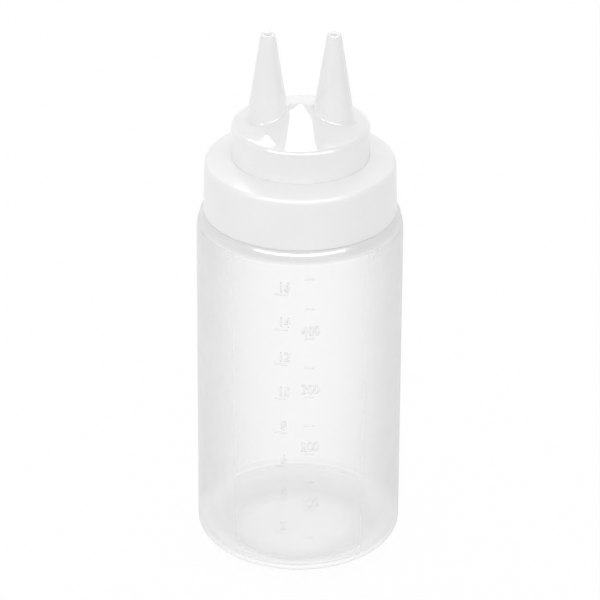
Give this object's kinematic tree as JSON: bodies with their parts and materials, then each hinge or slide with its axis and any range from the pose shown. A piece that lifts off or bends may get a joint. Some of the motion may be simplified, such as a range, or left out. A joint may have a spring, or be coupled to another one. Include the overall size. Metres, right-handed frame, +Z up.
{
  "type": "condiment squeeze bottle",
  "caption": "Wide-mouth milky squeeze bottle with a raised volume scale, a screw collar and a domed head with twin upright cone nozzles.",
  "frame": {"origin": "centre of the bottle's base, on the plane that it stands on", "axes": "+Z up along the bottle's axis, -Y towards the side with the scale, +X from the left nozzle to the right one"},
  "size_m": [0.0764, 0.0766, 0.2064],
  "materials": {
    "milky_bottle_plastic": "satin, translucent",
    "milky_collar_plastic": "matte, milky",
    "glossy_head_plastic": "glossy, milky",
    "gasket_rubber": "soft, matte"
  },
  "bodies": {
    "bottle_body": {"bottle": "milky_bottle_plastic"},
    "cap_head": {"nozzle_head": "glossy_head_plastic", "neck_gasket": "gasket_rubber"},
    "cap_collar": {"screw_collar": "milky_collar_plastic"}
  },
  "joints": [
    {"name": "cap_lift", "type": "slide", "parent": "bottle_body", "child": "cap_head", "axis": [0, 0, 1], "range_m": [0, 0.0212]},
    {"name": "collar_turn", "type": "hinge", "parent": "cap_head", "child": "cap_collar", "pos_m": [0, 0, 0.1483], "axis": [0, 0, 1], "range_deg": [0, 1800]}
  ],
  "couplings": [
    {"joint": "cap_lift", "follows": "collar_turn", "m_per_rad": 0.00067323}
  ]
}
